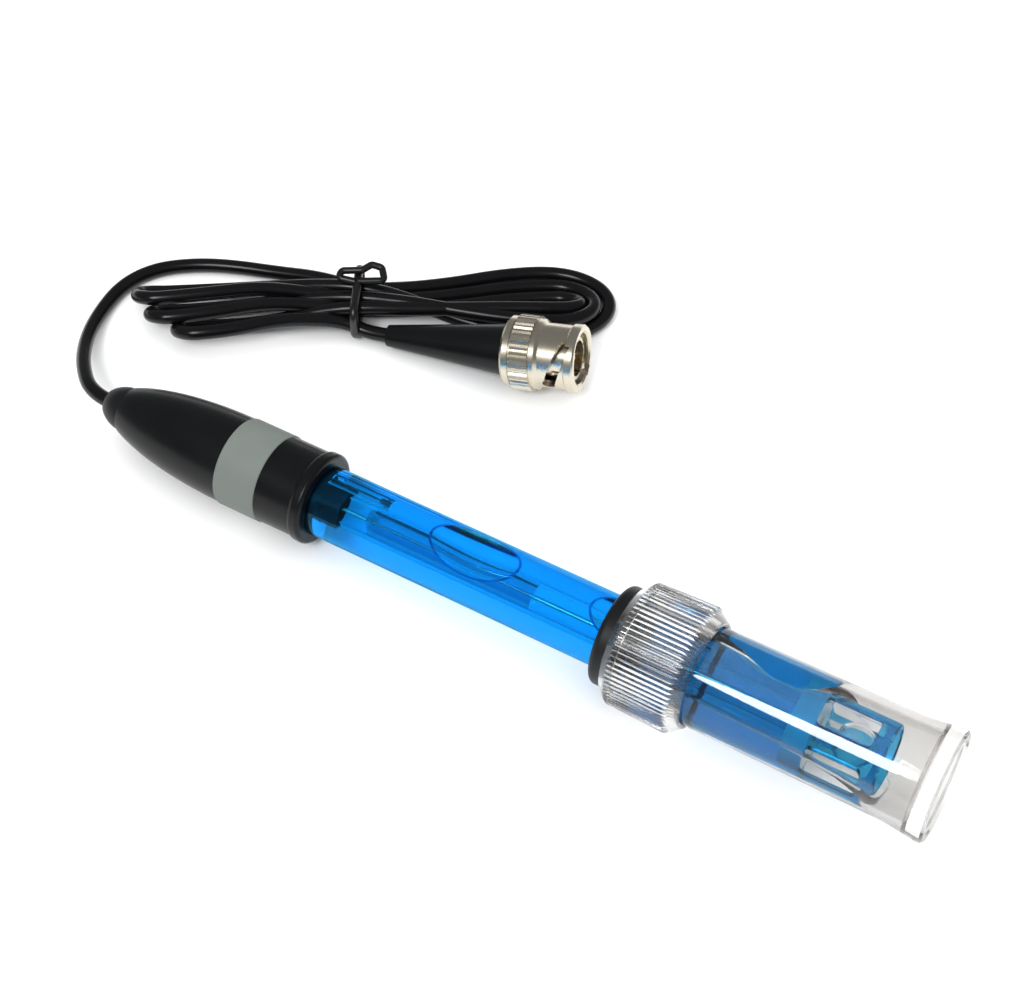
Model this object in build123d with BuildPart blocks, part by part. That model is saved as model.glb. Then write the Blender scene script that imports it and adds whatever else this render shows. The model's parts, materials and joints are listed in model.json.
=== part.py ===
from build123d import *
import math
import os

# Combination pH electrode lying on a bench, with its storage bottle on and its coaxial lead in a tied hank.
# Row frame: +X along the probe from the cable end to the bottle, +Z up, origin in the middle on the bench.
# Distances named "..._at" are measured along the probe from the rear face of its cable grommet.

# Shared clearances
running_gap = 0.07
snug_gap = 0.02
liquid_film = 0.03

# Handle: grommet, boot, grey band and front sleeve
cable_radius = 1.4
grommet_length = 4.4
grommet_rear_radius = 2.5
grommet_front_radius = 4.2
grommet_neck_radius = 3.0
grommet_neck_length = 3.0
boot_length = 24.8
boot_rear_radius = 4.5
handle_radius = 8.18
band_length = 8.7
band_radius = 8.38
band_round = 0.3
sleeve_length = 7.7
flange_length = 2.0
flange_radius = 8.6
flange_round = 0.8
spigot_radius = 7.0
spigot_length = 8.6
boot_cavity_radius = 5.2
boot_cavity_length = 9.0

# Body tube, with its guard of four windows round the glass bulb
shaft_radius = 6.5
seat_radius = 6.33
shaft_bore = 5.6
shaft_length = 96.3
tube_seat_depth = 1.5
tube_spigot_radius = 5.95
tube_spigot_bore = 5.1
tube_spigot_length = 18.0
guard_bore = 5.5
window_length = 9.6
window_width = 5.4
window_count = 4
window_corner = 0.9
guard_ring_length = 2.6
guard_ring_round = 0.35

# Glass stem and the pieces inside the body tube
stem_radius = 2.2
stem_bore = 1.65
stem_rear_depth = 8.0
bulb_radius = 3.7
bulb_wall = 0.45
bulb_setback = 2.9
stopper_length = 4.0
shrink_sleeve_radius = 2.62
shrink_sleeve_reach = 4.9
top_plug_length = 6.0
top_plug_reach = 1.4
tip_seal_length = 4.0
junction_radius = 0.65
junction_offset = 3.9
wire_radius = 0.3
measuring_wire_reach = 96.0
air_column_start = 11.0
air_column_length = 32.6
meniscus_angle = 32.0
sheath_radius = 1.0
sheath_bore = 0.7
sheath_offset = 3.95
sheath_angle = -28.0
sheath_reach = 12.4
element_reach = 13.4
reference_wire_radius = 0.22

# Bubbles trapped in the reference gel, each under the top of the tube
bubble_level = 2.75
bubble_bulge_radius = 9.5
first_bubble_at = 79.1
first_bubble_length = 17.6
second_bubble_at = 110.2
second_bubble_length = 17.2

# Storage cap: rubber seal ring, knurled collar and clear bottle
cap_reach = 50.5
seal_rim_radius = 9.0
seal_rim_length = 2.5
seal_rim_round = 1.1
seal_groove_radius = 7.9
seal_flange_radius = 8.7
seal_flange_length = 1.3
seal_shaft_gap = 0.05
seal_clear_length = 0.1
lip_thickness = 2.3
lip_side_gap = 0.05
collar_length = 15.05
collar_rear_chamfer = 1.85
collar_front_chamfer = 2.5
collar_rear_radius = 11.1
collar_front_radius = 11.42
collar_face_radius = 9.3
collar_bore = 9.2
knurl_root_depth = 0.38
knurl_count = 72
knurl_mouth_share = 0.48
knurl_root_share = 0.3
mouth_gap = 0.1
neck_radius = 8.4
bottle_length = 54.15
bottle_rear_radius = 8.83
bottle_front_radius = 9.1
bottle_rim_radius = 9.8
bottle_rim_length = 1.5
bottle_rim_round = 0.45
bottle_flare_length = 6.6
shoulder_length = 0.9
bottle_wall = 1.25
mouth_wall = 0.95
base_thickness = 2.85
base_recess_depth = 0.55
base_recess_radius = 8.3
floor_corner = 0.8

# Coaxial plug, measured along its own axis from the tail of its boot
plug_tail = Vector(-49.8, 43.0, 2.9)
plug_heading = 13.5
plug_boot_length = 24.5
plug_boot_tail_radius = 2.1
plug_boot_front_radius = 4.95
plug_boot_round = 0.35
nut_radius = 7.15
nut_length = 14.4
nut_gap = 0.15
nut_rear_ring_radius = 6.75
nut_rear_ring_length = 2.0
nut_knurl_length = 3.7
nut_front_ring_radius = 6.7
nut_front_ring_length = 1.3
nut_shell_radius = 6.1
nut_rim_radius = 6.45
nut_rim_length = 1.7
nut_knurl_count = 44
nut_knurl_depth = 0.28
nut_knurl_share = 0.72
nut_back_wall = 2.2
nut_cavity_radius = 5.62
nut_cavity_length = 3.6
nut_bore = 4.87
body_shaft_radius = 4.53
body_flange_radius = 5.4
body_flange_length = 0.9
washer_thickness = 0.8
washer_bore = 4.6
gasket_length = 1.2
gasket_radius = 4.8
contact_radius = 4.05
contact_foot_radius = 3.8
contact_wall = 0.65
contact_setback = 0.9
contact_slot_width = 0.45
contact_slot_length = 4.0
crimp_radius = 2.6
crimp_length = 7.0
ferrule_wall = 0.55
insulator_radius = 3.3
insulator_nose_radius = 2.3
insulator_nose_length = 3.0
insulator_base_length = 5.0
core_radius = 0.9
pin_radius = 0.67
pin_foot_radius = 0.5
pin_setback = 1.4
bayonet_width = 2.2
bayonet_start_setback = 1.9
bayonet_travel = 3.2
bayonet_turn = 85.0
bayonet_angle = 20.0
bayonet_entry_depth = 0.75

# Hank of the lead, on the bench beside the probe, and the twist tie round its waist
hank_centre = Vector(-59.0, 46.3, 0)
hank_heading = 27.5
hank_height = 5.6
hank_top_round = 1.2
waist_width = 11.2
waist_height = 5.2
waist_lift = 1.85
waist_length = 8.0
waist_round = 1.2
tie_radius = 0.85
tie_gap = 0.05
knot_wire_radius = 0.7
knot_radius = 0.8
lead_exit = 4.6
lead_end = Vector(-94.2, 40.4, cable_radius)
lead_pocket = 14.0
tail_run = 5.5
tail_pocket = 9.0

# Stations along the probe
boot_at = grommet_length
band_at = boot_at + boot_length
sleeve_at = band_at + band_length
flange_at = sleeve_at + sleeve_length
shaft_at = flange_at + flange_length
window_at = shaft_at + shaft_length
guard_ring_at = window_at + window_length
tip_at = guard_ring_at + guard_ring_length
tube_at = shaft_at - tube_seat_depth
tube_spigot_at = tube_at - tube_spigot_length
spigot_at = band_at - spigot_length
tip_seal_at = window_at - tip_seal_length
plug_face_at = shaft_at + top_plug_reach
bulb_at = guard_ring_at - bulb_setback - bulb_wall
stem_at = shaft_at - stem_rear_depth
air_start_at = shaft_at + air_column_start
air_end_at = air_start_at + air_column_length

seal_at = tip_at - cap_reach
collar_at = seal_at + seal_rim_length + lip_side_gap
lip_end_at = collar_at + lip_thickness
seal_flange_at = lip_end_at + lip_side_gap
mouth_at = seal_flange_at + seal_flange_length + mouth_gap
collar_end_at = collar_at + collar_length
knurl_at = collar_at + collar_rear_chamfer
knurl_end_at = collar_end_at - collar_front_chamfer
bottle_end_at = mouth_at + bottle_length
bottle_floor_at = bottle_end_at - base_thickness

# The probe rests on the rear edge of its band and the lower edge of the collar's knurl, so it lies tilted
rest_rear_at = band_at + band_round
tilt = max(
    math.atan2(collar_rear_radius - band_radius, knurl_at - rest_rear_at),
    math.atan2(collar_front_radius - band_radius, knurl_end_at - rest_rear_at),
)
probe_direction = Vector(math.cos(tilt), 0, math.sin(tilt))
probe_up = Vector(-math.sin(tilt), 0, math.cos(tilt))
axis_height = band_radius * math.cos(tilt) - rest_rear_at * math.sin(tilt)
overall_reach = bottle_end_at * math.cos(tilt)
end_overhang = (bottle_rim_radius - bottle_rim_round - grommet_rear_radius) * math.sin(tilt)
probe_origin = Vector(-(overall_reach + end_overhang) / 2, 0, axis_height)
probe_plane = Plane(origin=probe_origin, x_dir=probe_direction, z_dir=(0, -1, 0))
probe_axis = Axis(origin=probe_origin, direction=probe_direction)


def across(station, turn=0.0):
    """Plane square to the probe at a station: its X points up, turned about the probe by an angle in degrees."""
    side = Vector(0, -1, 0)
    x_dir = probe_up * math.cos(math.radians(turn)) + side * math.sin(math.radians(turn))
    return Plane(origin=probe_origin + probe_direction * station, x_dir=x_dir, z_dir=probe_direction)


def facing_out(station, turn):
    """Plane that contains the probe's axis at a station, facing out of the tube at an angle from the top."""
    radial = across(station, turn).x_dir
    return Plane(origin=probe_origin + probe_direction * station, x_dir=probe_direction, z_dir=radial)


# The plug lies on its boot's tail and the rear edge of its nut, so its axis rises towards the nut
nut_at = plug_boot_length + nut_gap
nut_knurl_at = nut_at + nut_rear_ring_length
plug_reach = math.hypot(nut_radius, nut_knurl_at)
plug_pitch = math.acos(plug_tail.Z / plug_reach) - math.atan2(nut_knurl_at, nut_radius)
plug_direction = Vector(
    math.cos(plug_pitch) * math.cos(math.radians(plug_heading)),
    math.cos(plug_pitch) * math.sin(math.radians(plug_heading)),
    math.sin(plug_pitch),
)
plug_side = Vector(math.sin(math.radians(plug_heading)), -math.cos(math.radians(plug_heading)), 0)
plug_plane = Plane(origin=plug_tail, x_dir=plug_direction, z_dir=plug_side)
plug_axis = Axis(origin=plug_tail, direction=plug_direction)
plug_up = plug_side.cross(plug_direction)


def on_plug(station, radius, turn):
    """Point at a station, radius and angle from the top of the plug, in the row frame."""
    out = plug_up * math.cos(math.radians(turn)) + plug_side * math.sin(math.radians(turn))
    return plug_tail + plug_direction * station + out * radius


def across_plug(station, turn=0.0):
    """Plane square to the plug at a station, with its X at an angle from the top of the plug."""
    x_dir = plug_up * math.cos(math.radians(turn)) + plug_side * math.sin(math.radians(turn))
    return Plane(origin=plug_tail + plug_direction * station, x_dir=x_dir, z_dir=plug_direction)


# Cable grommet: soft collar moulded round the cable, with a neck that holds it in the boot
with BuildPart() as cable_grommet:
    with BuildSketch(probe_plane):
        with BuildLine():
            rise = ThreePointArc(
                (0, grommet_rear_radius),
                (grommet_length * 0.35, grommet_rear_radius + (grommet_front_radius - grommet_rear_radius) * 0.62),
                (grommet_length, grommet_front_radius),
            )
            Polyline(
                rise @ 1,
                (grommet_length, grommet_neck_radius),
                (grommet_length + grommet_neck_length, grommet_neck_radius),
                (grommet_length + grommet_neck_length, cable_radius + snug_gap),
                (0, cable_radius + snug_gap),
                rise @ 0,
            )
        make_face()
    revolve(axis=probe_axis)
cable_grommet.part.label = "cable_grommet"

# Rear boot: hollow ogive shell, thick at the grommet and bored at the front for the sleeve's spigot
boot_ellipse_length = boot_length / math.sqrt(1 - (boot_rear_radius / handle_radius) ** 2)
boot_start_angle = math.degrees(math.asin(boot_rear_radius / handle_radius))
boot_cavity_at = spigot_at - boot_cavity_length
with BuildPart() as rear_boot:
    with BuildSketch(probe_plane):
        with BuildLine():
            ogive = EllipticalCenterArc(
                (band_at, 0), boot_ellipse_length, handle_radius, start_angle=90, arc_size=90 - boot_start_angle
            )
            Polyline(
                ogive @ 1,
                (boot_at, grommet_neck_radius + snug_gap),
                (boot_cavity_at, grommet_neck_radius + snug_gap),
                (spigot_at, boot_cavity_radius),
                (spigot_at, spigot_radius + snug_gap),
                (band_at, spigot_radius + snug_gap),
                ogive @ 0,
            )
        make_face()
    revolve(axis=probe_axis)
rear_boot.part.label = "rear_boot"

# Grey band: plain ring on the spigot, a little proud of the handle
with BuildPart() as grey_band:
    with BuildSketch(across(band_at)):
        Circle(band_radius)
        Circle(spigot_radius + snug_gap, mode=Mode.SUBTRACT)
    extrude(amount=band_length)
    fillet(grey_band.edges().filter_by(GeomType.CIRCLE).group_by(SortBy.RADIUS)[-1], band_round)
grey_band.part.label = "grey_band"

# Front sleeve: spigot, barrel and rounded flange, counterbored for the end of the tube
with BuildPart() as front_sleeve:
    with BuildSketch(probe_plane):
        with BuildLine():
            Polyline(
                (spigot_at, tube_spigot_radius + snug_gap),
                (spigot_at, spigot_radius),
                (sleeve_at, spigot_radius),
                (sleeve_at, handle_radius),
                (flange_at - 0.5, handle_radius),
                (flange_at, flange_radius),
                (shaft_at, flange_radius),
                (shaft_at, seat_radius + snug_gap),
                (tube_at, seat_radius + snug_gap),
                (tube_at, tube_spigot_radius + snug_gap),
                close=True,
            )
        make_face()
    revolve(axis=probe_axis)
    rim = front_sleeve.edges().filter_by(GeomType.CIRCLE).group_by(SortBy.RADIUS)[-1]
    fillet(rim, flange_round)
front_sleeve.part.label = "front_sleeve"

# Body tube: one moulded tube, with a spigot in the sleeve and a windowed guard that a ring closes
with BuildPart() as body_tube:
    with BuildSketch(probe_plane):
        with BuildLine():
            Polyline(
                (tube_spigot_at, tube_spigot_bore),
                (tube_spigot_at, tube_spigot_radius),
                (tube_at, tube_spigot_radius),
                (tube_at, seat_radius),
                (shaft_at, seat_radius),
                (shaft_at, shaft_radius),
                (seal_at - seal_clear_length, shaft_radius),
                (seal_at - seal_clear_length, seat_radius),
                (tip_at - guard_ring_round, seat_radius),
                (tip_at, seat_radius - guard_ring_round),
                (tip_at, guard_bore),
                (window_at, guard_bore),
                (window_at, shaft_bore),
                (shaft_at, shaft_bore),
                (tube_at, tube_spigot_bore),
                close=True,
            )
        make_face()
    revolve(axis=probe_axis)
    window_middle_at = window_at + window_length / 2
    for turn in range(0, 360, 360 // window_count):
        with BuildSketch(facing_out(window_middle_at, turn)):
            RectangleRounded(window_length, window_width, window_corner)
        extrude(amount=seat_radius + 1, mode=Mode.SUBTRACT)
body_tube.part.label = "body_tube"

# Top plug: black resin that closes the tube round the stem and the reference sheath
with BuildPart() as top_plug:
    with BuildSketch(probe_plane):
        with BuildLine():
            Polyline(
                (plug_face_at - top_plug_length, shrink_sleeve_radius + liquid_film),
                (plug_face_at - top_plug_length, tube_spigot_bore - liquid_film),
                (tube_at, tube_spigot_bore - liquid_film),
                (shaft_at, shaft_bore - liquid_film),
                (plug_face_at, shaft_bore - liquid_film),
                (plug_face_at, shrink_sleeve_radius + liquid_film),
                close=True,
            )
        make_face()
    revolve(axis=probe_axis)
    with BuildSketch(across(plug_face_at - top_plug_length, sheath_angle)):
        with Locations((sheath_offset, 0)):
            Circle(sheath_radius + liquid_film)
    extrude(amount=top_plug_length, mode=Mode.SUBTRACT)
top_plug.part.label = "top_plug"

# Glass stem: thin tube blown out into the sensing bulb, in one piece
bulb_neck_at = bulb_at - math.sqrt(bulb_radius**2 - stem_radius**2)
inner_bulb_radius = bulb_radius - bulb_wall
inner_neck_at = bulb_at - math.sqrt(inner_bulb_radius**2 - stem_bore**2)
with BuildPart() as glass_stem:
    with BuildSketch(probe_plane):
        with BuildLine():
            Polyline(
                (bulb_neck_at, stem_radius),
                (stem_at, stem_radius),
                (stem_at, stem_bore),
                (inner_neck_at, stem_bore),
            )
            ThreePointArc(
                (inner_neck_at, stem_bore), (bulb_at, inner_bulb_radius), (bulb_at + inner_bulb_radius, 0)
            )
            Line((bulb_at + inner_bulb_radius, 0), (bulb_at + bulb_radius, 0))
            ThreePointArc((bulb_at + bulb_radius, 0), (bulb_at, bulb_radius), (bulb_neck_at, stem_radius))
        make_face()
    revolve(axis=probe_axis)
glass_stem.part.label = "glass_stem"

# Stem stopper: resin that closes the rear of the stem round the measuring wire
with BuildPart() as stem_stopper:
    with BuildSketch(across(stem_at)):
        Circle(stem_bore - liquid_film)
        Circle(wire_radius + liquid_film, mode=Mode.SUBTRACT)
    extrude(amount=stopper_length)
stem_stopper.part.label = "stem_stopper"

# Shrink sleeve: dark tubing over the rear of the stem
with BuildPart() as stem_sleeve:
    with BuildSketch(across(stem_at)):
        Circle(shrink_sleeve_radius)
        Circle(stem_radius + snug_gap, mode=Mode.SUBTRACT)
    extrude(amount=shaft_at + shrink_sleeve_reach - stem_at)
    front_rim = stem_sleeve.edges().group_by(Axis.X)[-1].sort_by(SortBy.RADIUS)[-1]
    fillet(front_rim, (shrink_sleeve_radius - stem_radius) / 3)
stem_sleeve.part.label = "stem_sleeve"

# Stem buffer: the filling solution in two slugs, with an air column between them
buffer_radius = stem_bore - liquid_film
buffer_bulb_radius = inner_bulb_radius - liquid_film
buffer_neck_at = bulb_at - math.sqrt(buffer_bulb_radius**2 - buffer_radius**2)
meniscus_lean = buffer_radius * math.tan(math.radians(meniscus_angle))
with BuildPart() as stem_buffer:
    with BuildSketch(probe_plane):
        with BuildLine():
            Polyline(
                (stem_at + stopper_length + liquid_film, buffer_radius),
                (stem_at + stopper_length + liquid_film, -buffer_radius),
                (air_start_at + meniscus_lean, -buffer_radius),
                (air_start_at - meniscus_lean, buffer_radius),
                close=True,
            )
        make_face()
    extrude(amount=buffer_radius, both=True)
    with BuildSketch(across(stem_at)):
        Circle(buffer_radius)
    extrude(amount=air_start_at - stem_at + 2 * meniscus_lean, mode=Mode.INTERSECT)
    with BuildSketch(probe_plane):
        with BuildLine():
            Polyline(
                (bulb_at + buffer_bulb_radius, 0),
                (air_end_at, 0),
                (air_end_at, buffer_radius),
                (buffer_neck_at, buffer_radius),
            )
            ThreePointArc(
                (buffer_neck_at, buffer_radius),
                (bulb_at, buffer_bulb_radius),
                (bulb_at + buffer_bulb_radius, 0),
            )
        make_face()
    revolve(axis=probe_axis)
    with BuildSketch(across(stem_at)):
        Circle(wire_radius + liquid_film)
    extrude(amount=measuring_wire_reach + stem_rear_depth + liquid_film, mode=Mode.SUBTRACT)
stem_buffer.part.label = "stem_buffer"

# Measuring wire: silver wire from the boot to the lower end of the stem
with BuildPart() as measuring_wire:
    with BuildSketch(across(spigot_at)):
        Circle(wire_radius)
    extrude(amount=shaft_at + measuring_wire_reach - spigot_at)
measuring_wire.part.label = "measuring_wire"

# Reference sheath: small tube beside the stem, through the top plug
with BuildPart() as reference_sheath:
    with BuildSketch(across(plug_face_at - top_plug_length, sheath_angle)):
        with Locations((sheath_offset, 0)):
            Circle(sheath_radius)
            Circle(sheath_bore, mode=Mode.SUBTRACT)
    extrude(amount=shaft_at + sheath_reach - plug_face_at + top_plug_length)
reference_sheath.part.label = "reference_sheath"

# Reference wire: silver wire in the sheath, with its dark chloride bead at the end
with BuildPart() as reference_wire:
    with BuildSketch(across(spigot_at + 2 * wire_radius, sheath_angle)):
        with Locations((sheath_offset, 0)):
            Circle(reference_wire_radius)
    extrude(amount=shaft_at + element_reach - spigot_at - 2 * wire_radius)
    with BuildSketch(across(shaft_at + sheath_reach - 1.2, sheath_angle)):
        with Locations((sheath_offset, 0)):
            Circle(sheath_bore - liquid_film)
    extrude(amount=element_reach - sheath_reach + 1.2)
reference_wire.part.label = "reference_wire"


# Reference gel: fills the tube round the stem, apart from two flat bubbles trapped against the top of the bore
bubble_lift = bubble_level + bubble_bulge_radius
bubble_length_share = math.sqrt(1 - ((bubble_lift - shaft_bore) / bubble_bulge_radius) ** 2)
bubble_axis = Axis(origin=probe_origin + probe_up * bubble_lift, direction=probe_direction)
with BuildPart() as reference_gel:
    with BuildSketch(probe_plane):
        with BuildLine():
            Polyline(
                (plug_face_at + liquid_film, shaft_bore - liquid_film),
                (tip_seal_at - liquid_film, shaft_bore - liquid_film),
                (tip_seal_at - liquid_film, stem_radius + liquid_film),
                (shaft_at + shrink_sleeve_reach + liquid_film, stem_radius + liquid_film),
                (shaft_at + shrink_sleeve_reach + liquid_film, shrink_sleeve_radius + liquid_film),
                (plug_face_at + liquid_film, shrink_sleeve_radius + liquid_film),
                close=True,
            )
        make_face()
    revolve(axis=probe_axis)
    with BuildSketch(across(plug_face_at, sheath_angle)):
        with Locations((sheath_offset, 0)):
            Circle(sheath_radius + liquid_film)
    extrude(amount=shaft_at + element_reach - plug_face_at + liquid_film, mode=Mode.SUBTRACT)
    for middle, length in ((first_bubble_at, first_bubble_length), (second_bubble_at, second_bubble_length)):
        with BuildSketch(probe_plane):
            with Locations((middle, bubble_lift)):
                Ellipse(length / 2 / bubble_length_share, bubble_bulge_radius)
            with Locations((middle, bubble_lift + bubble_bulge_radius)):
                Rectangle(4 * length, 2 * bubble_bulge_radius, mode=Mode.SUBTRACT)
        revolve(axis=bubble_axis, mode=Mode.SUBTRACT)
reference_gel.part.label = "reference_gel"

# Tip seal: resin ring that holds the stem in the end of the tube, bored for the junction
with BuildPart() as tip_seal:
    with BuildSketch(across(tip_seal_at)):
        Circle(shaft_bore - snug_gap)
        Circle(stem_radius + snug_gap, mode=Mode.SUBTRACT)
        with Locations((-junction_offset, 0)):
            Circle(junction_radius + snug_gap, mode=Mode.SUBTRACT)
    extrude(amount=tip_seal_length)
tip_seal.part.label = "tip_seal"

# Ceramic junction: porous plug through the tip seal
with BuildPart() as ceramic_junction:
    with BuildSketch(across(tip_seal_at)):
        with Locations((-junction_offset, 0)):
            Circle(junction_radius)
    extrude(amount=tip_seal_length)
ceramic_junction.part.label = "ceramic_junction"

# Cable end: the cable from the grommet's rear face into the boot, with its stripped core
with BuildPart() as cable_end:
    with BuildSketch(across(0)):
        Circle(cable_radius)
    extrude(amount=boot_cavity_at)
    with BuildSketch(across(boot_cavity_at)):
        Circle(core_radius)
    extrude(amount=spigot_at - boot_cavity_at)
cable_end.part.label = "cable_end"

# Potting: resin in the boot's cavity, round the cable's core
with BuildPart() as potting:
    with BuildSketch(probe_plane):
        with BuildLine():
            Polyline(
                (boot_cavity_at, core_radius + snug_gap),
                (boot_cavity_at, grommet_neck_radius),
                (spigot_at, boot_cavity_radius - snug_gap),
                (spigot_at, core_radius + snug_gap),
                close=True,
            )
        make_face()
    revolve(axis=probe_axis)
potting.part.label = "potting"

# Seal ring: black rubber, its groove snapped over the collar's lip, its bore sliding on the shaft
seal_bore = seat_radius + seal_shaft_gap
with BuildPart() as seal_ring:
    with BuildSketch(probe_plane):
        with BuildLine():
            Polyline(
                (seal_at, seal_bore),
                (seal_at, seal_rim_radius),
                (seal_at + seal_rim_length, seal_rim_radius),
                (seal_at + seal_rim_length, seal_groove_radius),
                (seal_flange_at, seal_groove_radius),
                (seal_flange_at, seal_flange_radius),
                (seal_flange_at + seal_flange_length, seal_flange_radius),
                (seal_flange_at + seal_flange_length, seal_bore),
                close=True,
            )
        make_face()
    revolve(axis=probe_axis)
    rims = seal_ring.edges().filter_by(GeomType.CIRCLE).group_by(SortBy.RADIUS)[-1]
    fillet(rims.sort_by(Axis.X)[0], seal_rim_round)
seal_ring.part.label = "seal_ring"

# Storage collar: clear knurled screw cap, open at the rear for the seal and at the front for the bottle
knurl_pitch =2 * math.pi * collar_rear_radius / knurl_count
knurl_mouth_width = knurl_pitch * knurl_mouth_share
knurl_root_width = knurl_pitch * knurl_root_share
with BuildPart() as storage_collar:
    with BuildSketch(probe_plane):
        with BuildLine():
            Polyline(
                (collar_at, seal_groove_radius + running_gap),
                (collar_at, collar_face_radius),
                (knurl_at, collar_rear_radius),
                (knurl_end_at, collar_front_radius),
                (collar_end_at, collar_bore + 0.35),
                (collar_end_at, collar_bore),
                (lip_end_at, collar_bore),
                (lip_end_at, seal_groove_radius + running_gap),
                close=True,
            )
        make_face()
    revolve(axis=probe_axis)
    with BuildSketch(across(collar_at, 180 + 180 / knurl_count)):
        with PolarLocations(collar_rear_radius - knurl_root_depth, knurl_count):
            Polygon(
                (0, -knurl_root_width / 2),
                (knurl_root_depth * 2, -knurl_mouth_width),
                (knurl_root_depth * 2, knurl_mouth_width),
                (0, knurl_root_width / 2),
                align=None,
            )
    extrude(amount=collar_length, mode=Mode.SUBTRACT)
storage_collar.part.label = "storage_collar"

# Storage bottle: clear, plain neck inside the collar, slightly flared base with a shallow recess
with BuildPart() as storage_bottle:
    with BuildSketch(probe_plane):
        with BuildLine():
            Polyline(
                (bottle_floor_at, 0),
                (bottle_floor_at, bottle_front_radius - bottle_wall - floor_corner),
            )
            RadiusArc(
                (bottle_floor_at, bottle_front_radius - bottle_wall - floor_corner),
                (bottle_floor_at - floor_corner, bottle_front_radius - bottle_wall),
                -floor_corner,
            )
            Polyline(
                (bottle_floor_at - floor_corner, bottle_front_radius - bottle_wall),
                (mouth_at, neck_radius - mouth_wall),
                (mouth_at, neck_radius),
                (collar_end_at - 2 * shoulder_length, neck_radius),
                (collar_end_at - shoulder_length, bottle_rear_radius),
                (bottle_end_at - bottle_rim_length - bottle_flare_length, bottle_front_radius),
            )
            flare_start = (bottle_end_at - bottle_rim_length - bottle_flare_length, bottle_front_radius)
            Spline(
                flare_start,
                (bottle_end_at - bottle_rim_length, bottle_rim_radius),
                tangents=[(1, 0.01), (1, 0.12)],
            )
            Polyline(
                (bottle_end_at - bottle_rim_length, bottle_rim_radius),
                (bottle_end_at - bottle_rim_round, bottle_rim_radius),
                (bottle_end_at, bottle_rim_radius - bottle_rim_round),
                (bottle_end_at, base_recess_radius),
                (bottle_end_at - base_recess_depth, base_recess_radius - base_recess_depth),
                (bottle_end_at - base_recess_depth, 0),
                (bottle_floor_at, 0),
            )
        make_face()
    revolve(axis=probe_axis)
storage_bottle.part.label = "storage_bottle"

# Plug boot: tapered strain relief over the crimp ferrule
ferrule_at = plug_boot_length - crimp_length
ferrule_radius = crimp_radius + ferrule_wall
with BuildPart() as plug_boot:
    with BuildSketch(plug_plane):
        with BuildLine():
            Polyline(
                (0, cable_radius + snug_gap),
                (0, plug_boot_tail_radius),
                (plug_boot_length - plug_boot_round, plug_boot_front_radius),
                (plug_boot_length, plug_boot_front_radius - plug_boot_round),
                (plug_boot_length, ferrule_radius + snug_gap),
                (ferrule_at, ferrule_radius + snug_gap),
                (ferrule_at, cable_radius + snug_gap),
                close=True,
            )
        make_face()
    revolve(axis=plug_axis)
plug_boot.part.label = "plug_boot"

# Crimp ferrule: tube that grips the braid on the body's crimp stem
with BuildPart() as plug_ferrule:
    with BuildSketch(across_plug(ferrule_at)):
        Circle(ferrule_radius)
        Circle(crimp_radius + snug_gap, mode=Mode.SUBTRACT)
    extrude(amount=crimp_length)
plug_ferrule.part.label = "plug_ferrule"

# Plug body: one turned piece, from crimp stem to slotted outer contact
washer_at = nut_at + nut_back_wall + running_gap
body_flange_at = washer_at + washer_thickness
gasket_at = body_flange_at + body_flange_length
nut_end_at = nut_at + nut_length
contact_end_at = nut_end_at - contact_setback
insulator_at = gasket_at + gasket_length - insulator_base_length
insulator_end_at = insulator_at + insulator_base_length
with BuildPart() as plug_body:
    with BuildSketch(plug_plane):
        with BuildLine():
            Polyline(
                (ferrule_at, core_radius + snug_gap),
                (ferrule_at, crimp_radius),
                (plug_boot_length, crimp_radius),
                (plug_boot_length, body_shaft_radius),
                (body_flange_at, body_shaft_radius),
                (body_flange_at, body_flange_radius),
                (gasket_at, body_flange_radius),
                (gasket_at, contact_foot_radius),
                (gasket_at + gasket_length, contact_foot_radius),
                (gasket_at + gasket_length, contact_radius),
                (contact_end_at, contact_radius),
                (contact_end_at, contact_radius - contact_wall),
                (insulator_at, contact_radius - contact_wall),
                (insulator_at, core_radius + snug_gap),
                close=True,
            )
        make_face()
    revolve(axis=plug_axis)
    with BuildSketch(across_plug(contact_end_at - contact_slot_length)):
        Rectangle(2 * contact_radius + 1, contact_slot_width)
        Rectangle(contact_slot_width, 2 * contact_radius + 1)
    extrude(amount=contact_slot_length + 1, mode=Mode.SUBTRACT)
plug_body.part.label = "plug_body"

# Insulator: white spool in the body, its nose round the foot of the pin
with BuildPart() as plug_insulator:
    with BuildSketch(across_plug(insulator_at + snug_gap)):
        Circle(insulator_radius)
        Circle(pin_foot_radius + snug_gap, mode=Mode.SUBTRACT)
    extrude(amount=insulator_base_length - snug_gap)
    with BuildSketch(across_plug(insulator_end_at)):
        Circle(insulator_nose_radius)
        Circle(pin_foot_radius + snug_gap, mode=Mode.SUBTRACT)
    extrude(amount=insulator_nose_length)
plug_insulator.part.label = "plug_insulator"

# Centre pin: round-nosed contact on the cable's core, with a thinner foot in the insulator
pin_at = insulator_end_at + insulator_nose_length
pin_end_at = nut_end_at - pin_setback
pin_nose_at = pin_end_at - pin_radius
with BuildPart() as plug_pin:
    with BuildSketch(plug_plane):
        with BuildLine():
            Polyline(
                (pin_end_at, 0),
                (insulator_at, 0),
                (insulator_at, pin_foot_radius),
                (pin_at, pin_foot_radius),
                (pin_at, pin_radius),
                (pin_nose_at, pin_radius),
            )
            CenterArc((pin_nose_at, 0), pin_radius, start_angle=0, arc_size=90)
        make_face()
    revolve(axis=plug_axis)
plug_pin.part.label = "plug_pin"

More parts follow.
